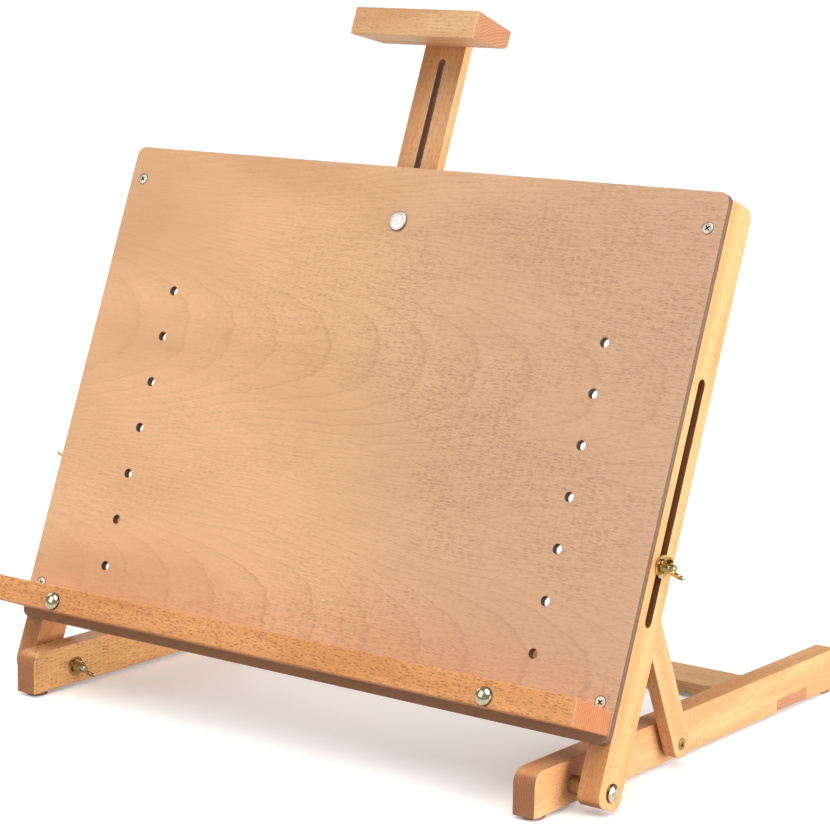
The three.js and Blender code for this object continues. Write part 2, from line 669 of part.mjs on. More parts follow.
function addTray() {
  const back = BOARD_FRONT - GAP;
  const outline = roundedOutline([
    [TRAY_FRONT, TRAY_BOTTOM, TRAY_EDGE],
    [back, TRAY_BOTTOM, TRAY_EDGE],
    [back, TRAY_BOTTOM + TRAY_BACK_HEIGHT, TRAY_EDGE],
    [TRAY_FRONT, TRAY_BOTTOM + TRAY_FRONT_HEIGHT, TRAY_EDGE],
  ]);
  const bores = SIDES.map(({ sign }) =>
    rodAlongY(BOLT_HOLE_RADIUS, TRAY_FRONT - 1, BOARD_FRONT + 1, sign * HOLE_X, LOWEST_HOLE),
  );
  const tray = extrudeAcross(outline, -TRAY_HALF_WIDTH, TRAY_HALF_WIDTH);
  addPiece(boardFrame, "canvas_tray", cut(tray, bores), BEECH);
  const length = BOARD_BACK - TRAY_FRONT + BOLT_BEYOND_FACE;
  for (const { name, sign } of SIDES) {
    const front = [sign * HOLE_X, TRAY_FRONT, LOWEST_HOLE];
    const rear = [sign * HOLE_X, BOARD_BACK, LOWEST_HOLE];
    addHardware(boardFrame, `tray_bolt_${name}`, domedBoltGeometry(length), ZINC, front, "front");
    addHardware(boardFrame, `tray_washer_${name}`, washerGeometry(WASHER_RADIUS), ZINC, rear, "back");
    const turn = sign * TRAY_NUT_TURN;
    addHardware(boardFrame, `tray_wing_nut_${name}`, wingNutGeometry(), ZINC, rear, "back", turn);
  }
}

// ---------------------------------------------------------------- centre bar and clamp block

// The two screws that hold the block to the bar stand side by side at one height
const BLOCK_SCREW_Z = BAR_TOP - 11;
const BLOCK_SCREW_XS = [-BLOCK_SCREW_SPACING / 2, BLOCK_SCREW_SPACING / 2];

/** A countersunk hole that runs forward from the bar's back face. */
function blockScrewHole(x) {
  return screwHole(BLOCK_SCREW_LENGTH).rotateZ(Math.PI / 2).translate(x, BAR_BACK, BLOCK_SCREW_Z);
}

function addCentreBar() {
  const half = BAR_WIDTH / 2;
  const outline = roundedOutline([
    [-half, BAR_BOTTOM, BAR_CORNER],
    [half, BAR_BOTTOM, BAR_CORNER],
    [half, BAR_TOP, 0],
    [-half, BAR_TOP, 0],
  ]);
  outline.holes.push(slotHole(0, BAR_SLOT_BOTTOM, BAR_SLOT_TOP, BAR_SLOT_WIDTH));
  const bar = extrudeForward(outline, BAR_BACK, BAR_FRONT);
  addPiece(boardFrame, "centre_bar", cut(bar, BLOCK_SCREW_XS.map(blockScrewHole)), BEECH);
}

function addClampBlock() {
  const front = BLOCK_BACK - BLOCK_DEPTH;
  const heel = BAR_TOP - BLOCK_BACK_HEIGHT;
  const outline = roundedOutline([
    [front, BAR_TOP - BLOCK_FRONT_HEIGHT, EASED_EDGE],
    [BLOCK_BACK - BLOCK_CHAMFER, heel, EASED_EDGE],
    [BLOCK_BACK, heel + BLOCK_CHAMFER, EASED_EDGE],
    [BLOCK_BACK, BAR_TOP, EASED_EDGE],
    [front, BAR_TOP, EASED_EDGE],
  ]);
  const block = extrudeAcross(outline, -BLOCK_WIDTH / 2, BLOCK_WIDTH / 2);
  addPiece(boardFrame, "clamp_block", cut(block, BLOCK_SCREW_XS.map(blockScrewHole)), BEECH);
  BLOCK_SCREW_XS.forEach((x, index) => {
    const name = `block_screw_${SIDES[index].name}`;
    const point = [x, BAR_BACK, BLOCK_SCREW_Z];
    const turn = FIRST_SCREW_TURN + index * NEXT_SCREW_TURN;
    addHardware(boardFrame, name, screwGeometry(BLOCK_SCREW_LENGTH), ZINC, point, "back", turn);
  });
}

/** The bolt that clamps the bar behind the board, with its washer and wing nut. */
function addBarClamp() {
  const front = [0, BOARD_FRONT, BAR_BOLT_Z];
  const rear = [0, BAR_BACK, BAR_BOLT_Z];
  const length = BAR_BACK - BOARD_FRONT + BOLT_BEYOND_FACE;
  addHardware(boardFrame, "bar_bolt", flatBoltGeometry(length), STEEL, front, "front");
  addHardware(boardFrame, "bar_washer", washerGeometry(WASHER_RADIUS), ZINC, rear, "back");
  addHardware(boardFrame, "bar_wing_nut", wingNutGeometry(), ZINC, rear, "back", BAR_NUT_TURN);
}

/** The two glued strips behind the board that keep the bar upright. */
function addBarGuides() {
  for (const { name, sign } of SIDES) {
    const inner = sign * (BAR_WIDTH / 2 + GUIDE_CLEARANCE);
    const outer = sign * (BAR_WIDTH / 2 + GUIDE_CLEARANCE + GUIDE_WIDTH);
    const [x0, x1] = [inner, outer].sort((a, b) => a - b);
    const outline = roundedOutline([
      [x0, GUIDE_TOP - GUIDE_LENGTH, GUIDE_CORNER],
      [x1, GUIDE_TOP - GUIDE_LENGTH, GUIDE_CORNER],
      [x1, GUIDE_TOP, GUIDE_CORNER],
      [x0, GUIDE_TOP, GUIDE_CORNER],
    ]);
    const strip = extrudeForward(outline, BAR_BACK, BOARD_BACK + GAP);
    addPiece(boardFrame, `bar_guide_${name}`, strip, BEECH);
  }
}

// ---------------------------------------------------------------- assembly

addCrossBar();
addBoard();
addTray();
addCentreBar();
addClampBlock();
addBarClamp();
addBarGuides();
for (const side of SIDES) {
  addRail(side);
  addFeet(side);
  addMast(side);
  addPivot(side);
  addStrut(side);
  addSlotClamp(side);
}

// The part's origin is on the table, below the middle of its box.
const box = new THREE.Box3().setFromObject(easel, true);
const middle = box.getCenter(new THREE.Vector3());
easel.position.set(-middle.x, -middle.y, -box.min.z);

export default easel;
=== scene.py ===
"""Looks of the tabletop easel: beech, plywood, zinc-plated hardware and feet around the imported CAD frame.

Everything is in metres in the part's own frame, and hardware is drawn in millimetres. Wooden CAD nodes
stay, with eased edges and procedural grain, and the board's edges are eased in the shading alone. Each piece
of hardware is replaced by a finer one, built here and placed from its CAD node.
"""

import json
import math

import bmesh
import bpy
import numpy as np
from mathutils import Euler, Matrix, Vector

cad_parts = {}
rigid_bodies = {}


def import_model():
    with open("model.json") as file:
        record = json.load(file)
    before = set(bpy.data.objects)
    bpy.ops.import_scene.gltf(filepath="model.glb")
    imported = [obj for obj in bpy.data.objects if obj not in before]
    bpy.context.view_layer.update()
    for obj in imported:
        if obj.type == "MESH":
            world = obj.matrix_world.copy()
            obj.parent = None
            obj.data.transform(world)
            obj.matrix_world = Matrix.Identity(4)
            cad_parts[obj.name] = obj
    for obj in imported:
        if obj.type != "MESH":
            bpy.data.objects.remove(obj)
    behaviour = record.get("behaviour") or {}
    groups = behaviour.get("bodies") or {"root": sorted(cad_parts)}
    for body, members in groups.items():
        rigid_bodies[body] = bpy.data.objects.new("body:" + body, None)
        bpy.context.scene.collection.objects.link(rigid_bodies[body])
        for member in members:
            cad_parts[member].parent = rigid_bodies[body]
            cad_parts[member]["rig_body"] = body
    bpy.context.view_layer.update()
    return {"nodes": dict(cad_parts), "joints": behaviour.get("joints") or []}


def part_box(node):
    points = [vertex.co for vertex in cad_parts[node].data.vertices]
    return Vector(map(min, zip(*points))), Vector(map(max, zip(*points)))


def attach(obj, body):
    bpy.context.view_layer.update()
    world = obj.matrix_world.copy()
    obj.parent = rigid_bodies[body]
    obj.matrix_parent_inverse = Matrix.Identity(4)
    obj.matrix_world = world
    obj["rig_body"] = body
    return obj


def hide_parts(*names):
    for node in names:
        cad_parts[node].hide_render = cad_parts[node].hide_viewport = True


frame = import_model()

MM = 0.001
SIDES = {"left": -1, "right": 1}
JOINTS = {joint["name"]: joint for joint in frame["joints"]}

# Axes of the base, and of the board, which leans back from the tilt pivot
RIGHT = Vector((1, 0, 0))
REAR = Vector((0, 1, 0))
UP = Vector((0, 0, 1))
BOARD_UP = Vector(JOINTS["bar_slide"]["axis"]).normalized()
BOARD_REAR = BOARD_UP.cross(RIGHT)
BASE_AXES = (RIGHT, REAR, UP)
BOARD_AXES = (RIGHT, BOARD_REAR, BOARD_UP)


# ---------------------------------------------------------------- measuring the CAD nodes

def vertices(node):
    """A CAD node's vertices at rest, as an array of points."""
    return np.array([v.co for v in frame["nodes"][node].data.vertices])


def extent(node, axis):
    """The lowest and highest reach of a CAD node along an axis."""
    reach = vertices(node) @ np.array(axis)
    return reach.min(), reach.max()


def centre(node, axes=BASE_AXES):
    """The middle of a CAD node's box, with the box turned to the axes."""
    return sum((axis * (sum(extent(node, axis)) / 2) for axis in axes), Vector())


def joint_point(name):
    return Vector(JOINTS[name]["pos_m"])


def strut_axis(side):
    """The direction of a strut, from the screw at its foot to its upper bolt."""
    low = joint_point(f"strut_{side}_swing")
    high = centre(f"strut_bolt_{side}")
    return Vector((0, high.y - low.y, high.z - low.z)).normalized()


# ---------------------------------------------------------------- material graphs

class Graph:
    """A new material, with one short method for each kind of node that it needs."""

    def __init__(self, name, **shader_values):
        self.material = bpy.data.materials.new(name)
        self.material.use_nodes = True
        self.tree = self.material.node_tree
        self.tree.nodes.clear()
        self.shader = self.node("ShaderNodeBsdfPrincipled")
        for socket, value in shader_values.items():
            self.shader.inputs[socket.replace("_", " ")].default_value = value
        self.node("ShaderNodeOutputMaterial", {"Surface": self.shader.outputs["BSDF"]})
        self.place = self.node("ShaderNodeTexCoord")

    def node(self, kind, inputs=None, **settings):
        made = self.tree.nodes.new(kind)
        for key, value in settings.items():
            setattr(made, key, value)
        for key, value in (inputs or {}).items():
            if isinstance(value, bpy.types.NodeSocket):
                self.tree.links.new(value, made.inputs[key])
            else:
                made.inputs[key].default_value = value
        return made

    def math(self, operation, a, b=0.0):
        return self.node("ShaderNodeMath", {0: a, 1: b}, operation=operation).outputs[0]

    def dot(self, vector, axis):
        inputs = {0: vector, 1: axis}
        return self.node("ShaderNodeVectorMath", inputs, operation="DOT_PRODUCT").outputs["Value"]

    def space(self, origin, along, across, through):
        """Object coordinates, measured from origin in metres along three axes of the piece."""
        turn = Matrix((along, across, through))
        inputs = {
            "Vector": self.place.outputs["Object"],
            "Rotation": turn.to_euler(),
            "Location": -(turn @ origin),
        }
        return self.node("ShaderNodeMapping", inputs).outputs[0]

    def stretched(self, vector, along, across, through, shift=0.0):
        """The coordinates as numbers of cells of the given lengths, in millimetres."""
        scale = (1 / (along * MM), 1 / (across * MM), 1 / (through * MM))
        inputs = {"Vector": vector, "Scale": scale, "Location": (shift, shift * 1.7, shift * 2.3)}
        return self.node("ShaderNodeMapping", inputs).outputs[0]

    def noise(self, vector, detail=2.0, roughness=0.5):
        inputs = {"Vector": vector, "Scale": 1.0, "Detail": detail, "Roughness": roughness}
        return self.node("ShaderNodeTexNoise", inputs).outputs[0]

    def cells(self, vector):
        """Distance from the middle of the nearest random cell, and that cell's random number."""
        cell = self.node("ShaderNodeTexVoronoi", {"Vector": vector, "Scale": 1.0})
        chance = self.node("ShaderNodeSeparateColor", {0: cell.outputs["Color"]}).outputs[0]
        return cell.outputs["Distance"], chance

    def step(self, value, low, high, start=0.0, end=1.0):
        """A smooth step from start to end as the value goes from low to high."""
        inputs = {"Value": value, "From Min": low, "From Max": high, "To Min": start, "To Max": end}
        return self.node("ShaderNodeMapRange", inputs, interpolation_type="SMOOTHSTEP").outputs[0]

    def mix(self, share, a, b, blend="MIX"):
        inputs = {0: share, 6: colour(a), 7: colour(b)}
        return self.node("ShaderNodeMix", inputs, data_type="RGBA", blend_type=blend).outputs[2]

    def flecks(self, vector, reach, chance_from):
        """Small lens-shaped marks: 1 inside a chosen cell's middle, 0 elsewhere."""
        distance, chance = self.cells(vector)
        mark = self.step(distance, reach, reach * 0.4)
        return self.math("MULTIPLY", mark, self.step(chance, chance_from, chance_from + 0.1))

    def edges(self, radius):
        """1 on the edges of the piece and 0 on its flats."""
        rounded = self.node("ShaderNodeBevel", {"Radius": radius}, samples=4).outputs[0]
        sharp = self.node("ShaderNodeNewGeometry").outputs["Normal"]
        return self.step(self.dot(rounded, sharp), 0.995, 0.80)

    def in_slot(self, middle, axes, half_length, half_width):
        """1 on the walls of a round-ended slot that runs along the first of the axes, 0 outside it."""
        parts = self.node("ShaderNodeSeparateXYZ", {0: self.space(middle, *axes)})
        beyond = self.math("SUBTRACT", self.math("ABSOLUTE", parts.outputs[0]), half_length - half_width)
        beyond = self.math("MAXIMUM", beyond, 0.0)
        squares = [self.math("MULTIPLY", reach, reach) for reach in (beyond, parts.outputs[1])]
        radius = self.math("SQRT", self.math("ADD", *squares))
        return self.step(radius, half_width + 0.3 * MM, half_width + 0.1 * MM)

    def finish(self, base, roughness, height=None, depth=0.0, eased=0.0):
        """Links the last sockets. An eased radius rounds the edges in the shading alone."""
        self.tree.links.new(base, self.shader.inputs["Base Color"])
        self.tree.links.new(roughness, self.shader.inputs["Roughness"])
        if height is not None:
            inputs = {"Height": height, "Distance": depth, "Strength": 1.0}
            if eased:
                inputs["Normal"] = self.node("ShaderNodeBevel", {"Radius": eased}, samples=6).outputs[0]
            bump = self.node("ShaderNodeBump", inputs).outputs[0]
            self.tree.links.new(bump, self.shader.inputs["Normal"])
        return self.material


def colour(value):
    """A socket as it is, or a linear RGB triple with an alpha of 1."""
    return value if isinstance(value, bpy.types.NodeSocket) else (*value, 1.0)


# ---------------------------------------------------------------- wood

BEECH_LIGHT = (0.70, 0.42, 0.20)
BEECH_DARK = (0.56, 0.29, 0.115)
BEECH_END = (0.31, 0.125, 0.05)
BEECH_END_RING = (0.20, 0.06, 0.02)
BEECH_FLECK = (0.27, 0.095, 0.03)
# Painted shade for the walls inside the slots
SLOT_WALL_SHADE = (0.155, 0.054, 0.019)
VENEER_LIGHT = (0.80, 0.465, 0.245)
VENEER_DARK = (0.60, 0.315, 0.155)
VENEER_ROSY = (0.60, 0.375, 0.24)
VENEER_FLECK = (0.24, 0.10, 0.045)
# The paler tone of the ply edge, also used as the painted shadow under the tray
PLY_EDGE_PALE_AND_TRAY_SHADOW = (0.19, 0.095, 0.045)
PLY_EDGE_DARK = (0.06, 0.027, 0.012)
WORN_EDGE = (0.82, 0.57, 0.34)


def beech_material(name, origin, grain, radial, shift, tint, fleck_strength, fleck_scarcity, slot=None):
    """Solid beech: growth rings across the radial axis, with streaks, pores and ray flecks along the grain.

    A slot, given as Graph.in_slot takes it, gets painted shade on its walls.
    """
    graph = Graph(f"beech_{name}", Coat_Weight=0.12, Coat_Roughness=0.35)
    tangent = radial.cross(grain)
    place = graph.space(origin, grain, tangent, radial)

    cloud = graph.noise(graph.stretched(place, 170, 24, 24, shift), 3)
    sway = graph.noise(graph.stretched(place, 110, 30, 30, shift + 5), 2)
    parts = graph.node("ShaderNodeSeparateXYZ", {0: place})
    curve = graph.math("MULTIPLY", graph.math("MULTIPLY", parts.outputs[1], parts.outputs[1]), 5.0)
    depth = graph.math("ADD", parts.outputs[2], curve)
    depth = graph.math("ADD", depth, graph.math("MULTIPLY", sway, 9 * MM))
    ring = graph.math("FRACT", graph.math("DIVIDE", depth, 2.6 * MM))
    late = graph.math("MULTIPLY", graph.step(ring, 0.35, 0.93), graph.step(ring, 1.0, 0.93))

    streak = graph.noise(graph.stretched(place, 38, 0.9, 0.9, shift + 9), 3, 0.6)
    pores = graph.noise(graph.stretched(place, 5, 0.35, 0.35, shift + 3), 2, 0.7)
    long_flecks = graph.flecks(graph.stretched(place, 6.0, 1.25, 12, shift), 0.50, fleck_scarcity)
    fine_flecks = graph.flecks(graph.stretched(place, 3.4, 0.8, 7, shift + 20), 0.50, fleck_scarcity - 0.15)
    fibre = graph.noise(graph.stretched(place, 13, 1.3, 1.3, shift + 13), 2, 0.6)

    base = graph.mix(graph.step(cloud, 0.30, 0.72), BEECH_LIGHT, BEECH_DARK)
    base = graph.mix(graph.math("MULTIPLY", late, 0.30), base, BEECH_DARK)
    base = graph.mix(graph.step(streak, 0.50, 0.78, 0, 0.45), base, BEECH_DARK)
    base = graph.mix(graph.step(fibre, 0.50, 0.74, 0, 0.26), base, BEECH_FLECK)
    base = graph.mix(graph.step(pores, 0.60, 0.80, 0, 0.30), base, BEECH_FLECK)
    base = graph.mix(graph.math("MULTIPLY", long_flecks, 0.50 * fleck_strength), base, BEECH_FLECK)
    base = graph.mix(graph.math("MULTIPLY", fine_flecks, 0.36 * fleck_strength), base, BEECH_FLECK)

    # End grain is darker and redder, with clear rings and tiny pores
    facing = graph.math("ABSOLUTE", graph.dot(graph.place.outputs["Normal"], grain))
    end_share = graph.step(facing, 0.55, 0.88)
    specks = graph.noise(graph.stretched(place, 3, 0.45, 0.45, shift + 7), 2, 0.7)
    end = graph.mix(graph.step(late, 0.1, 0.9, 0, 0.75), BEECH_END, BEECH_END_RING)
    end = graph.mix(graph.step(specks, 0.50, 0.75, 0, 0.22), end, BEECH_LIGHT)
    base = graph.mix(graph.math("MULTIPLY", end_share, 0.85), base, end)

    base = graph.mix(1.0, base, tint, "MULTIPLY")
    base = graph.mix(graph.math("MULTIPLY", graph.edges(1.1 * MM), 0.35), base, WORN_EDGE)
    # Painted shade darkens the walls inside the slot
    if slot:
        base = graph.mix(graph.math("MULTIPLY", graph.in_slot(*slot), 0.92), base, SLOT_WALL_SHADE)

    roughness = graph.step(cloud, 0.2, 0.8, 0.40, 0.56)
    height = graph.math("ADD", graph.math("MULTIPLY", streak, 0.6), graph.math("MULTIPLY", pores, 0.4))
    height = graph.math("SUBTRACT", height, graph.math("MULTIPLY", long_flecks, 0.5))
    return graph.finish(base, roughness, height, 0.06 * MM)


def plywood_material(node, axes):
    """Rotary-cut beech veneer with repeating flame figure on both faces, and layered plies on the edges."""
    right, rear, up = axes
    graph = Graph("beech_plywood", Coat_Weight=0.10, Coat_Roughness=0.40)
    low = sum((axis * extent(node, axis)[0] for axis in (rear, up)), Vector())
    place = graph.space(low, right, rear, up)
    parts = graph.node("ShaderNodeSeparateXYZ", {0: place})
    across, depth, height_up = parts.outputs[0], parts.outputs[1], parts.outputs[2]

    # The figure: nested flames that point right, repeated once for each turn of the log
    turn = 250 * MM
    flame_height = 294 * MM
    ragged = graph.noise(graph.stretched(place, 30, 50, 7), 3, 0.6)
    sway = graph.noise(graph.stretched(place, 190, 200, 70, 4), 2)
    swayed = graph.math("ADD", height_up, graph.math("MULTIPLY", graph.math("SUBTRACT", sway, 0.5), 30 * MM))
    off_axis = graph.math("PINGPONG", graph.math("SUBTRACT", swayed, flame_height), turn / 2)
    drop = graph.math("POWER", graph.math("DIVIDE", off_axis, turn / 2), 2.9)
    value = graph.math("ADD", across, graph.math("MULTIPLY", drop, 900 * MM))
    value = graph.math("ADD", value, graph.math("MULTIPLY", ragged, 20 * MM))
    pace = graph.noise(graph.stretched(place, 220, 900, 900, 8), 1)
    value = graph.math("ADD", value, graph.math("MULTIPLY", pace, 70 * MM))
    ring = graph.math("FRACT", graph.math("DIVIDE", value, 58 * MM))
    line = graph.math("MULTIPLY", graph.step(ring, 0.86, 0.97), graph.step(ring, 1.0, 0.975))
    shade = graph.step(ring, 0.15, 0.95)
    clear = graph.step(across, -0.26, 0.0, 0.45, 1.0)
    fine = graph.math("FRACT", graph.math("DIVIDE", value, 12.5 * MM))
    fine_line = graph.math("MULTIPLY", graph.step(fine, 0.4, 0.9), graph.step(fine, 1.0, 0.9))

    cloud = graph.noise(graph.stretched(place, 240, 200, 90, 2), 3)
    streak = graph.noise(graph.stretched(place, 30, 4, 1.5, 6), 3, 0.65)
    flecks = graph.flecks(graph.stretched(place, 7.5, 4, 1.3, 1), 0.52, 0.30)
    fine_flecks = graph.flecks(graph.stretched(place, 4.0, 4, 0.9, 11), 0.52, 0.25)
    busy = graph.step(graph.noise(graph.stretched(place, 150, 200, 60, 15), 2), 0.35, 0.65, 0.35, 1.0)
    busy = graph.math("MULTIPLY", busy, graph.step(across, -0.30, 0.22, 0.35, 1.0))

    base = graph.mix(graph.step(cloud, 0.30, 0.70, 0, 0.6), VENEER_LIGHT, VENEER_DARK)
    base = graph.mix(graph.step(across, -0.15, 0.33, 0, 0.85), base, VENEER_ROSY)
    base = graph.mix(graph.math("MULTIPLY", shade, 0.14), base, VENEER_DARK)
    base = graph.mix(graph.math("MULTIPLY", fine_line, 0.10), base, VENEER_DARK)
    base = graph.mix(graph.math("MULTIPLY", graph.math("MULTIPLY", line, clear), 0.14), base, VENEER_FLECK)
    streaks = graph.math("MULTIPLY", graph.step(streak, 0.42, 0.70), graph.math("ADD", busy, 0.35))
    base = graph.mix(graph.math("MULTIPLY", streaks, 0.16), base, VENEER_FLECK)
    marks = graph.math("MULTIPLY", graph.math("MULTIPLY", flecks, busy), 0.42)
    base = graph.mix(marks, base, VENEER_FLECK)
    fine_marks = graph.math("MULTIPLY", graph.math("MULTIPLY", fine_flecks, busy), 0.30)
    base = graph.mix(fine_marks, base, VENEER_FLECK)
    # Painted shadow of the tray: the lowest 7 to 10 mm of the board are darkened
    base = graph.mix(graph.step(height_up, 10 * MM, 7 * MM, 0, 0.6), base, PLY_EDGE_PALE_AND_TRAY_SHADOW)

    # The edge shows five plies with alternating grain
    thickness = extent(node, rear)[1] - extent(node, rear)[0]
    ply = graph.math("FRACT", graph.math("DIVIDE", depth, thickness / 2.5))
    cross_ply = graph.math("MULTIPLY", graph.step(ply, 0.44, 0.52), graph.step(ply, 0.98, 0.92))
    crumbs = graph.noise(graph.stretched(place, 1.6, 0.5, 1.6, 3), 3, 0.7)
    edge = graph.mix(graph.math("MULTIPLY", cross_ply, 0.75), PLY_EDGE_PALE_AND_TRAY_SHADOW, PLY_EDGE_DARK)
    edge = graph.mix(graph.step(crumbs, 0.45, 0.70, 0, 0.7), edge, PLY_EDGE_DARK)
    facing = graph.math("ABSOLUTE", graph.dot(graph.place.outputs["Normal"], rear))
    base = graph.mix(graph.step(facing, 0.75, 0.45), base, edge)

    roughness = graph.step(cloud, 0.2, 0.8, 0.44, 0.58)
    height = graph.math("SUBTRACT", graph.math("MULTIPLY", streak, 0.7), graph.math("MULTIPLY", flecks, 0.5))
    return graph.finish(base, roughness, height, 0.05 * MM, 0.8 * MM)


def ease_edges(node, width):
    """Rounds a CAD node's sharp edges for the render, leaving its mesh alone."""
    piece = frame["nodes"][node]
    weld = piece.modifiers.new("weld", "WELD")
    weld.merge_threshold = 0.02 * MM
    flats = piece.modifiers.new("whole_flats", "DECIMATE")
    flats.decimate_type = "DISSOLVE"
    flats.angle_limit = math.radians(0.5)
    bevel = piece.modifiers.new("eased_edges", "BEVEL")
    bevel.width = width
    bevel.segments = 3
    bevel.limit_method = "ANGLE"
    bevel.angle_limit = math.radians(32)
    bevel.use_clamp_overlap = False
    normals = piece.modifiers.new("flat_shading", "WEIGHTED_NORMAL")
    normals.weight = 100
    normals.keep_sharp = False


def paint(node, material):
    data = frame["nodes"][node].data
    data.materials.clear()
    data.materials.append(material)


SLOT_REACH = 8 * MM  # wider than half of any slot, and narrower than half of any piece that has one
FOOT_SHARE = 0.055  # the share of a piece's length that lies below its slot and holds its own bore


def slot_place(node, outward, across, along):
    """The slot along the middle of a piece's outward face, as Graph.in_slot takes it."""
    points = vertices(node)
    side, length = points @ np.array(across), points @ np.array(along)
    low, high = extent(node, along)
    foot_end = low + FOOT_SHARE * (high - low)
    rim = points @ np.array(outward) > extent(node, outward)[1] - 0.1 * MM
    rim &= abs(side - sum(extent(node, across)) / 2) < SLOT_REACH
    rim &= length > foot_end
    ends = [(reach[rim].min(), reach[rim].max()) for reach in (length, side)]
    middle = along * (sum(ends[0]) / 2) + across * (sum(ends[1]) / 2)
    return middle, (along, across, along.cross(across)), *[(top - bottom) / 2 for bottom, top in ends]


# How each cut of beech is tinted, and the strength and scarcity of its ray flecks
ORANGE_TRAY = ((1.14, 0.91, 0.72), 1.2, 0.28)
WARM_BAR = ((1.05, 0.93, 0.84), 0.7, 0.50)
GOLDEN = ((1.0, 0.92, 0.88), 0.7, 0.60)
SPOTTED = ((1.12, 1.02, 0.88), 1.5, 0.62)
PALE = ((1.10, 1.10, 1.14), 0.6, 0.60)
AMBER = ((1.0, 0.81, 0.67), 0.6, 0.60)


def dress_wood():
    """Gives every wooden node its own cut of beech: grain axis, radial axis and the cut's looks."""
    diagonal = (BOARD_REAR + BOARD_UP * 0.9).normalized()
    pieces = {
        "rear_cross_bar": (RIGHT, (REAR + UP * 0.8).normalized(), BASE_AXES, PALE, None),
        "canvas_tray": (RIGHT, diagonal, BOARD_AXES, ORANGE_TRAY, None),
        "centre_bar": (
            BOARD_UP, (BOARD_REAR + RIGHT * 0.5).normalized(), BOARD_AXES, WARM_BAR,
            slot_place("centre_bar", -BOARD_REAR, RIGHT, BOARD_UP),
        ),
        "clamp_block": (RIGHT, (BOARD_UP - BOARD_REAR * 0.6).normalized(), BOARD_AXES, PALE, None),
    }
    for side, sign in SIDES.items():
        along = strut_axis(side)
        tilted = (RIGHT * sign + UP * 0.35).normalized()
        looks = GOLDEN if side == "right" else SPOTTED
        pieces[f"base_rail_{side}"] = (REAR, tilted, BASE_AXES, looks, None)
        slanted = (BOARD_REAR + RIGHT * sign * 0.6).normalized()
        slot = slot_place(f"mast_{side}", RIGHT * sign, BOARD_REAR, BOARD_UP)
        pieces[f"mast_{side}"] = (BOARD_UP, slanted, BOARD_AXES, AMBER, slot)
        turned_in = (RIGHT * sign + along.cross(RIGHT) * 0.4).normalized()
        pieces[f"strut_{side}"] = (along, turned_in, BASE_AXES, GOLDEN, None)
        pieces[f"bar_guide_{side}"] = (BOARD_UP, BOARD_REAR, BOARD_AXES, GOLDEN, None)
    for index, (node, (grain, radial, axes, looks, slot)) in enumerate(pieces.items()):
        shift = 3.1 * index + 1
        paint(node, beech_material(node, centre(node, axes), grain, radial, shift, *looks, slot))
        ease_edges(node, 0.9 * MM)
    paint("drawing_board", plywood_material("drawing_board", BOARD_AXES))


# ---------------------------------------------------------------- metal and rubber

# Painted shade for the rims and recesses of the hardware
RIM_AND_RECESS_SHADE = (0.035, 0.025, 0.015)


def metal_material(name, light, dark, roughness, rim=None, recess=None):
    """Plated metal with a cloudy tint and slightly uneven gloss, in a piece's own coordinates.

    A rim (lowest radius) gets a nearly black painted outline of shade and dark reflection, and a recess (its
    floor's reach along X, its radius) nearly black painted shade, in mm.
    """
    graph = Graph(name, Metallic=1.0)
    place = graph.place.outputs["Object"]
    cloud = graph.noise(graph.stretched(place, 7, 7, 7), 2, 0.5)
    scratch = graph.noise(graph.stretched(place, 0.5, 0.5, 6, 4), 2, 0.6)
    base = graph.mix(graph.step(cloud, 0.35, 0.65), light, dark)
    base = graph.mix(graph.step(scratch, 0.60, 0.80, 0, 0.15), base, dark)
    parts = graph.node("ShaderNodeSeparateXYZ", {0: place})
    flat = graph.node("ShaderNodeVectorMath", {0: place, 1: (0, 1, 1)}, operation="MULTIPLY").outputs[0]
    radius = graph.node("ShaderNodeVectorMath", {0: flat}, operation="LENGTH").outputs["Value"]
    if rim:
        # Painted shade and dark reflection round the rim
        base = graph.mix(graph.step(radius, (rim - 0.1) * MM, (rim + 0.1) * MM, 0, 0.9), base, RIM_AND_RECESS_SHADE)
    if recess:
        depth, reach = recess
        # Painted shade in the recess
        low = graph.step(parts.outputs[0], (depth + 0.08) * MM, depth * MM)
        recess_shade = graph.math("MULTIPLY", low, graph.step(radius, (reach + 0.2) * MM, reach * MM))
        base = graph.mix(graph.math("MULTIPLY", recess_shade, 0.95), base, RIM_AND_RECESS_SHADE)
    gloss = graph.step(scratch, 0.3, 0.8, roughness * 0.85, roughness * 1.3)
    return graph.finish(base, gloss)


def rubber_material():
    graph = Graph("amber_rubber", Coat_Weight=0.25, Coat_Roughness=0.3)
    place = graph.place.outputs["Object"]
    cloud = graph.noise(graph.stretched(place, 6, 6, 6), 3)
    grain = graph.noise(graph.stretched(place, 0.6, 0.6, 0.6), 2)
    base = graph.mix(graph.step(cloud, 0.3, 0.7), (0.27, 0.075, 0.022), (0.17, 0.045, 0.014))
    return graph.finish(base, graph.step(grain, 0.2, 0.8, 0.40, 0.55), grain, 0.05 * MM)


ZINC = metal_material("yellow_zinc_plate", (0.72, 0.59, 0.31), (0.42, 0.32, 0.14), 0.12)
DOME_ZINC = metal_material("yellow_zinc_dome", (0.88, 0.82, 0.62), (0.66, 0.58, 0.38), 0.10, 7.7)
SCREW_ZINC = metal_material("pale_zinc_plate", (0.96, 0.93, 0.83), (0.86, 0.80, 0.62), 0.34, 5.0, (0.42, 3.4))
DULL_ZINC = metal_material("dull_zinc_plate", (0.50, 0.42, 0.28), (0.32, 0.26, 0.17), 0.38)
STEEL = metal_material("bright_steel", (0.97, 0.96, 0.92), (0.92, 0.90, 0.85), 0.30, 8.75)
RUBBER = rubber_material()


# ---------------------------------------------------------------- hardware meshes, built along local +X

def smooth_shaded(mesh, angle=35):
    mesh.polygons.foreach_set("use_smooth", [True] * len(mesh.polygons))
    mesh.set_sharp_from_angle(angle=math.radians(angle))
    return mesh


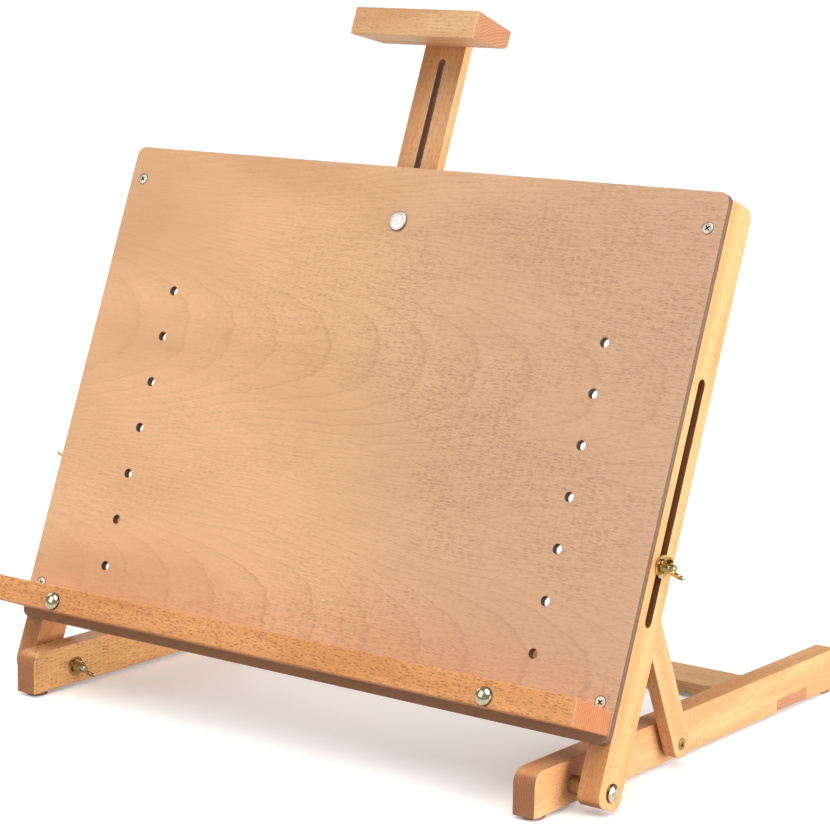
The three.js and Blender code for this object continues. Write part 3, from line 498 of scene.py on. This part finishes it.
def turned(name, rings, segments=48):
    """A closed turned form. Each ring is (x, radius), in mm, and radius may be a function of the angle."""
    shape = bmesh.new()
    angles = [2 * math.pi * index / segments for index in range(segments)]
    loops = []
    for x, radius in rings:
        reach = radius if callable(radius) else lambda angle, fixed=radius: fixed
        points = [(x, reach(a) * math.cos(a), reach(a) * math.sin(a)) for a in angles]
        loops.append([shape.verts.new(Vector(point) * MM) for point in points])
    for before, after in zip(loops, loops[1:]):
        for index in range(segments):
            following = (index + 1) % segments
            shape.faces.new((before[index], before[following], after[following], after[index]))
    for loop, x in ((loops[0], rings[0][0]), (loops[-1], rings[-1][0])):
        tip = shape.verts.new((x * MM, 0, 0))
        for index in range(segments):
            shape.faces.new((loop[index], loop[(index + 1) % segments], tip))
    return to_mesh(name, shape)


def ring_band(name, profile, segments=48):
    """A closed ring form, such as a washer. The profile of (x, radius) points, in mm, closes on itself."""
    shape = bmesh.new()
    loops = []
    for x, radius in profile:
        angles = [2 * math.pi * index / segments for index in range(segments)]
        points = [(x, radius * math.cos(a), radius * math.sin(a)) for a in angles]
        loops.append([shape.verts.new(Vector(point) * MM) for point in points])
    for before, after in zip(loops, loops[1:] + loops[:1]):
        for index in range(segments):
            following = (index + 1) % segments
            shape.faces.new((before[index], before[following], after[following], after[index]))
    return to_mesh(name, shape)


def to_mesh(name, shape):
    bmesh.ops.recalc_face_normals(shape, faces=shape.faces)
    mesh = bpy.data.meshes.new(name)
    shape.to_mesh(mesh)
    shape.free()
    return smooth_shaded(mesh)


def modified(mesh, *steps):
    """The mesh after the given modifiers, each one (kind, settings)."""
    worker = bpy.data.objects.new("worker", mesh)
    bpy.context.scene.collection.objects.link(worker)
    for kind, settings in steps:
        modifier = worker.modifiers.new(kind.lower(), kind)
        for key, value in settings.items():
            setattr(modifier, key, value)
    graph = bpy.context.evaluated_depsgraph_get()
    result = bpy.data.meshes.new_from_object(worker.evaluated_get(graph))
    result.name = mesh.name
    bpy.data.objects.remove(worker)
    return smooth_shaded(result)


def cut(mesh, *tools):
    """The mesh less each of the tool meshes."""
    holders = [bpy.data.objects.new("tool", tool) for tool in tools]
    for holder in holders:
        bpy.context.scene.collection.objects.link(holder)
    steps = [("BOOLEAN", {"operation": "DIFFERENCE", "solver": "EXACT", "object": h}) for h in holders]
    result = modified(mesh, *steps)
    for holder in holders:
        bpy.data.objects.remove(holder)
    return result


def thread_rings(start, end, radius, pitch=1.0, depth=0.5):
    """Rings of a helical thread between two places along the bolt, with a chamfered end at start."""
    def crest(x):
        fade = min(1.0, (x - start) / 1.2)
        def at(angle):
            phase = (x / pitch - angle / (2 * math.pi)) % 1.0
            notch = 1 - abs(2 * phase - 1)
            return radius - 0.7 * (1 - fade) - depth * notch * min(fade + 0.4, 1.0)
        return at
    steps = round((end - start) / pitch * 7)
    return [(start + (end - start) * step / steps, crest(start + (end - start) * step / steps))
            for step in range(steps + 1)]


def dome_rings(radius, height, rim=0.5, steps=12):
    """The head of a carriage bolt from the wood's face outwards: a thin rim and a low dome."""
    rings = [(0.05, radius - 0.25), (0.2, radius), (rim, radius)]
    for step in range(1, steps):
        angle = math.pi / 2 * step / steps
        rings.append((rim + (height - rim) * math.sin(angle), radius * math.cos(angle) ** 0.92))
    rings.append((height, 0.25))
    return rings


def domed_bolt(name, length, threaded):
    """A carriage bolt: thread, plain shank, square neck and domed head on the face at x = 0."""
    def neck(angle):
        return min(3.0 / max(abs(math.cos(angle)), abs(math.sin(angle))), 3.2)
    rings = thread_rings(-length, -length + threaded, 3.0) if threaded else [(-length, 2.9)]
    rings += [(-length + threaded + 0.3, 2.95), (-4.0, 2.95), (-3.6, neck), (0.04, neck)]
    return turned(name, rings + dome_rings(8.25, 4.6))


def flat_bolt(name, length, threaded):
    """A bolt with a thin polished flat head on the face at x = 0."""
    rings = thread_rings(-length, -length + threaded, 3.0)
    rings += [(-length + threaded + 0.3, 2.95), (0.05, 2.95), (0.05, 8.8), (0.3, 9.0), (1.3, 9.0)]
    rings += [(1.7, 8.85), (1.95, 8.5), (2.1, 7.9), (2.1, 4.0), (2.1, 0.3)]
    return turned(name, rings)


def threaded_stud(name, start, end):
    """A plain stud whose outer stretch, from the wood's face at x = 0, is threaded."""
    mirrored = [(-x, radius) for x, radius in thread_rings(-end, 2.0, 3.0)]
    return turned(name, mirrored + [(-2.4, 2.95), (start + 0.4, 2.95), (start, 2.6)])


def washer(name, outer, thickness):
    """A washer or a spacer sleeve, standing on x = 0."""
    inner, ease = 3.3, 0.3
    profile = [(0, inner + ease), (0, outer - ease), (ease, outer), (thickness - ease, outer)]
    profile += [(thickness, outer - ease), (thickness, inner + ease)]
    profile += [(thickness - ease, inner), (ease, inner)]
    return ring_band(name, profile)


def wing(sign):
    """One wing of a wing nut: a flat lobe that leans outwards from the hub."""
    points = [(1.0, 1.0), (5.6, 1.2), (8.6, 3.2), (11.4, 5.6), (13.6, 8.4), (14.6, 11.2), (14.3, 13.9)]
    points += [(12.8, 15.3), (11.0, 15.0), (9.2, 13.2), (7.4, 10.4), (5.2, 7.9), (3.2, 7.0), (1.0, 7.0)]
    shape = bmesh.new()
    halves = []
    for offset in (-1, 1):
        loop = []
        for out, along in points:
            half = 1.55 - 0.035 * out
            loop.append(shape.verts.new(Vector((along, offset * half, sign * out)) * MM))
        halves.append(loop)
    shape.faces.new(halves[0])
    shape.faces.new(halves[1])
    count = len(points)
    for index in range(count):
        following = (index + 1) % count
        shape.faces.new((halves[0][index], halves[0][following], halves[1][following], halves[1][index]))
    bmesh.ops.recalc_face_normals(shape, faces=shape.faces)
    return shape


def wing_nut(name):
    """A forged wing nut standing on x = 0, with its wings along local Z."""
    hub = turned("hub", [(0, 6.2), (0.4, 6.4), (3.2, 6.3), (6.9, 5.0), (7.6, 4.6)])
    forms = bmesh.new()
    forms.from_mesh(hub)
    for sign in (-1, 1):
        part = wing(sign)
        part_mesh = bpy.data.meshes.new("wing")
        part.to_mesh(part_mesh)
        part.free()
        forms.from_mesh(part_mesh)
        bpy.data.meshes.remove(part_mesh)
    joined = bpy.data.meshes.new(name)
    forms.to_mesh(joined)
    forms.free()
    forged = modified(
        joined,
        ("REMESH", {"mode": "VOXEL", "voxel_size": 0.42 * MM, "use_smooth_shade": True}),
        ("SMOOTH", {"factor": 0.5, "iterations": 9}),
    )
    bore = turned("bore", [(-2, 3.15), (12, 3.15)])
    nut = cut(forged, bore)
    nut.name = name
    return nut


def recess_bar(length, width):
    """One bar of a cross recess, tapered downwards, to cut from a screw's head."""
    shape = bmesh.new()
    levels = []
    for x, share in ((2.0, 1.25), (-1.9, 0.45)):
        half_length, half_width = length / 2 * share, width / 2 * (0.55 + 0.45 * share)
        corners = ((1, 1), (-1, 1), (-1, -1), (1, -1))
        points = [Vector((x, a * half_length, b * half_width)) * MM for a, b in corners]
        levels.append([shape.verts.new(point) for point in points])
    shape.faces.new(levels[0])
    shape.faces.new(levels[1])
    for index in range(4):
        following = (index + 1) % 4
        shape.faces.new((levels[0][index], levels[0][following], levels[1][following], levels[1][index]))
    return to_mesh("recess", shape)


def screw(name, length):
    """A countersunk cross-head wood screw with its head on the face at x = 0."""
    rings = [(-length, 0.3), (-length + 4, 2.1), (-3.4, 2.2), (-0.25, 5.3), (0.05, 5.4), (0.25, 5.25)]
    rings += [(0.45, 4.6), (0.58, 3.4), (0.66, 1.8), (0.68, 0.3)]
    first = recess_bar(5.6, 1.25)
    second = recess_bar(5.6, 1.25)
    second.transform(Matrix.Rotation(math.pi / 2, 4, "X"))
    return cut(turned(name, rings), first, second)


def foot(name, height, radius):
    """A bumper foot standing on x = 0: a rounded rim and a shallow dish underneath."""
    rings = [(0.35, 0.3), (0.3, 2.2), (0.0, 3.2), (0.0, radius - 2.0)]
    for step in range(1, 7):
        angle = math.pi / 2 * step / 6
        rings.append((1.6 * (1 - math.cos(angle)), radius - 2.0 + 2.0 * math.sin(angle)))
    rings += [(height - 0.5, radius - 0.35), (height, radius - 0.8), (height, 0.3)]
    return turned(name, rings)


# ---------------------------------------------------------------- placing hardware

def stand(point, out, roll):
    """A matrix that puts local +X along out and local +Z as near roll as it can."""
    x_axis = out.normalized()
    z_axis = (roll - x_axis * roll.dot(x_axis)).normalized()
    y_axis = z_axis.cross(x_axis)
    turn = Matrix((x_axis, y_axis, z_axis)).transposed().to_4x4()
    return Matrix.Translation(point) @ turn


def put(node, mesh, point, out, roll, material):
    """Puts a piece of hardware in the place of its CAD node, on that node's body."""
    mesh = mesh.copy()
    mesh.materials.clear()
    mesh.materials.append(material)
    piece = bpy.data.objects.new(f"{node}_look", mesh)
    bpy.context.scene.collection.objects.link(piece)
    piece.matrix_world = stand(point, out, roll)
    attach(piece, frame["nodes"][node]["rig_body"])
    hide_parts(node)


def on_face(node, out, face):
    """The point on the node's own axis, at the given reach along out."""
    middle = centre(node, BASE_AXES if abs(out.x) > 0.5 or abs(out.z) > 0.99 else BOARD_AXES)
    return middle + out * (face - middle.dot(out))


def wing_direction(node, out):
    """The direction in which a CAD wing nut's wings point, found from its furthest corner."""
    points = vertices(node)
    axis = np.array(out)
    middle = np.array(centre(node, BASE_AXES if abs(out.x) > 0.5 else BOARD_AXES))
    offsets = points - middle
    offsets -= np.outer(offsets @ axis, axis)
    return Vector(offsets[np.argmax((offsets ** 2).sum(1))])


def length_mm(node, out):
    low, high = extent(node, out)
    return (high - low) / MM


# How far a CAD head's top stands above the face that it sits on, in mm
DOME_RISE = 4.7
FLAT_RISE = 2.1
SCREW_RISE = 0.7

THREAD_LENGTH = 22
WASHER_THICKNESS = 1.6
WASHER_RADIUS = 9
SLOT_WASHER_RADIUS = 10


def put_bolt(node, out, roll, thread=THREAD_LENGTH):
    """Puts a carriage bolt with its domed head outwards."""
    shank = length_mm(node, out) - DOME_RISE
    face = extent(node, out)[1] - DOME_RISE * MM
    bolt = domed_bolt(node, shank, thread)
    put(node, bolt, on_face(node, out, face), out, roll, DOME_ZINC)


def put_ring(node, out, roll, radius, thickness=WASHER_THICKNESS, material=ZINC):
    """Puts a washer or a spacer sleeve where its CAD node starts."""
    start = extent(node, out)[0]
    ring = washer(node, radius, thickness)
    put(node, ring, on_face(node, out, start), out, roll, material)


def put_spacer(node, out, radius):
    put_ring(node, out, UP, radius, length_mm(node, out), DULL_ZINC)


def put_wing_nut(node, nut, out, point):
    base = extent(node, out)[0]
    place = point + out * (base - point.dot(out))
    put(node, nut, place, out, wing_direction(node, out), ZINC)


def put_screw(node, out, turn, length, material=SCREW_ZINC):
    top = extent(node, out)[1] - SCREW_RISE * MM
    place = on_face(node, out, top)
    side = RIGHT if abs(out.x) < 0.5 else UP
    roll = Matrix.Rotation(turn, 3, out) @ side
    put(node, screw(node, length), place, out, roll, material)


def put_foot(node):
    low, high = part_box(node)
    base = Vector(((low.x + high.x) / 2, (low.y + high.y) / 2, low.z))
    bumper = foot(node, (high.z - low.z) / MM, (high.x - low.x) / 2 / MM)
    put(node, bumper, base, UP, REAR, RUBBER)


def dress_pivot(side, outward, nut):
    put_bolt(f"pivot_bolt_{side}", outward, UP)
    put_wing_nut(f"pivot_wing_nut_{side}", nut, -outward, joint_point("board_tilt"))
    put_ring(f"pivot_washer_{side}", -outward, UP, WASHER_RADIUS)
    put_spacer(f"pivot_spacer_{side}", outward, 8)


def dress_strut(side, outward):
    put_bolt(f"strut_bolt_{side}", -outward, UP, thread=0)
    put_spacer(f"strut_spacer_{side}", outward, 7)
    put_screw(f"strut_screw_{side}", outward, 0.4, 32, ZINC)


def dress_slot_clamp(side, outward, nut):
    node = f"slot_stud_{side}"
    low, high = extent(node, outward)
    face = extent(f"mast_{side}", outward)[1]
    rod = threaded_stud(node, (low - face) / MM, (high - face) / MM)
    put(node, rod, on_face(node, outward, face), outward, UP, ZINC)
    put_wing_nut(f"slot_wing_nut_{side}", nut, outward, joint_point(f"slot_nut_{side}_turn"))
    put_ring(f"slot_washer_{side}", outward, UP, SLOT_WASHER_RADIUS)


def dress_tray_bolt(side, nut):
    put_bolt(f"tray_bolt_{side}", -BOARD_REAR, BOARD_UP)
    put_wing_nut(f"tray_wing_nut_{side}", nut, BOARD_REAR, joint_point(f"tray_nut_{side}_turn"))
    put_ring(f"tray_washer_{side}", BOARD_REAR, BOARD_UP, WASHER_RADIUS)


def dress_screws(side):
    """The other wood screws of one side. The right ones of each pair are turned further."""
    on_right = side == "right"
    put_screw(f"board_screw_lower_{side}", -BOARD_REAR, 0.35 + 0.5 * on_right, 22)
    put_screw(f"board_screw_upper_{side}", -BOARD_REAR, 0.75, 22)
    put_screw(f"block_screw_{side}", BOARD_REAR, 0.2 + 0.4 * on_right, 30)
    put_screw(f"cross_bar_screw_{side}", -UP, 0.5, 28)


def dress_bar_clamp(nut):
    node = "bar_bolt"
    front = -BOARD_REAR
    bolt = flat_bolt(node, length_mm(node, front) - FLAT_RISE, THREAD_LENGTH)
    face = extent(node, front)[1] - FLAT_RISE * MM
    put(node, bolt, on_face(node, front, face), front, BOARD_UP, STEEL)
    put_wing_nut("bar_wing_nut", nut, BOARD_REAR, joint_point("bar_nut_turn"))
    put_ring("bar_washer", BOARD_REAR, BOARD_UP, WASHER_RADIUS)


def dress_hardware():
    """Replaces every bolt, nut, washer, spacer, screw and foot."""
    nut = wing_nut("wing_nut")
    for side, sign in SIDES.items():
        outward = RIGHT * sign
        dress_pivot(side, outward, nut)
        dress_strut(side, outward)
        dress_slot_clamp(side, outward, nut)
        dress_tray_bolt(side, nut)
        dress_screws(side)
        for end in ("front", "rear"):
            put_foot(f"foot_{end}_{side}")
    dress_bar_clamp(nut)


# ---------------------------------------------------------------- floor, light and camera

FLOOR_BOUNCE = (0.58, 0.565, 0.54)  # the floor as it lights the easel from below
FLOOR_GLOW = 0.17  # what brings the floor that the camera sees near to white
LIGHT_TARGET = Vector((0, 0, 0.25))


def add_floor():
    """A pale disc, wide enough to reach past every view, and a little brighter where it is looked at."""
    shape = bmesh.new()
    bmesh.ops.create_circle(shape, cap_ends=True, radius=40, segments=96)
    floor = bpy.data.objects.new("floor", to_mesh("floor", shape))
    bpy.context.scene.collection.objects.link(floor)
    graph = Graph("pale_floor")
    speckle = graph.noise(graph.stretched(graph.place.outputs["Object"], 900, 900, 900), 3)
    seen = graph.mix(graph.step(speckle, 0.3, 0.7), (0.97, 0.97, 0.965), (0.955, 0.955, 0.95))
    in_view = graph.node("ShaderNodeLightPath").outputs["Is Camera Ray"]
    base = graph.mix(in_view, FLOOR_BOUNCE, seen)
    glow = graph.math("MULTIPLY", in_view, FLOOR_GLOW)
    graph.shader.inputs["Emission Color"].default_value = (1, 1, 1, 1)
    graph.tree.links.new(glow, graph.shader.inputs["Emission Strength"])
    floor.data.materials.append(graph.finish(base, graph.step(speckle, 0, 1, 0.85, 0.95)))


def add_light(name, point, size, energy):
    """A rectangular soft light that faces the middle of the easel."""
    light = bpy.data.lights.new(name, "AREA")
    light.shape = "RECTANGLE"
    light.size, light.size_y = size
    light.energy = energy
    lamp = bpy.data.objects.new(name, light)
    bpy.context.scene.collection.objects.link(lamp)
    lamp.location = point
    lamp.rotation_euler = (LIGHT_TARGET - Vector(point)).to_track_quat("-Z", "Y").to_euler()


def add_lights():
    world = bpy.data.worlds.new("studio")
    bpy.context.scene.world = world
    world.use_nodes = True
    background = world.node_tree.nodes["Background"]
    background.inputs["Color"].default_value = (1.0, 0.995, 0.985, 1)
    background.inputs["Strength"].default_value = 0.27
    add_light("key", (3.0, 0.55, 0.95), (1.9, 1.7), 92)
    add_light("low", (2.7, -0.4, 0.40), (1.5, 0.7), 36)
    add_light("fill", (-2.3, -2.8, 1.75), (2.0, 2.0), 12)
    add_light("left", (-3.0, 1.0, 1.0), (2.0, 1.6), 42)
    top = bpy.data.lights.new("top", "SUN")
    top.energy = 2.4
    top.angle = math.radians(50)
    lamp = bpy.data.objects.new("top", top)
    bpy.context.scene.collection.objects.link(lamp)
    lamp.rotation_euler = Vector((-0.15, 0.45, -0.88)).to_track_quat("-Z", "Y").to_euler()


def add_camera():
    """The view: from the front right and a little above, with a long lens."""
    yaw, pitch, roll = math.radians(36.89), math.radians(10.14), math.radians(0.8)
    camera = bpy.data.cameras.new("camera")
    camera.lens = 116.19
    camera.sensor_width = 36
    camera.clip_end = 200
    holder = bpy.data.objects.new("camera", camera)
    bpy.context.scene.collection.objects.link(holder)
    level = Euler((math.pi / 2 - pitch, 0, yaw)).to_matrix()
    holder.rotation_euler = (level @ Matrix.Rotation(roll, 3, "Z")).to_euler()
    holder.location = (1.46538, -1.98374, 0.70931)
    bpy.context.scene.camera = holder


def main():
    add_camera()
    dress_wood()
    dress_hardware()
    add_floor()
    add_lights()
    bpy.context.scene.view_settings.view_transform = "Standard"


main()
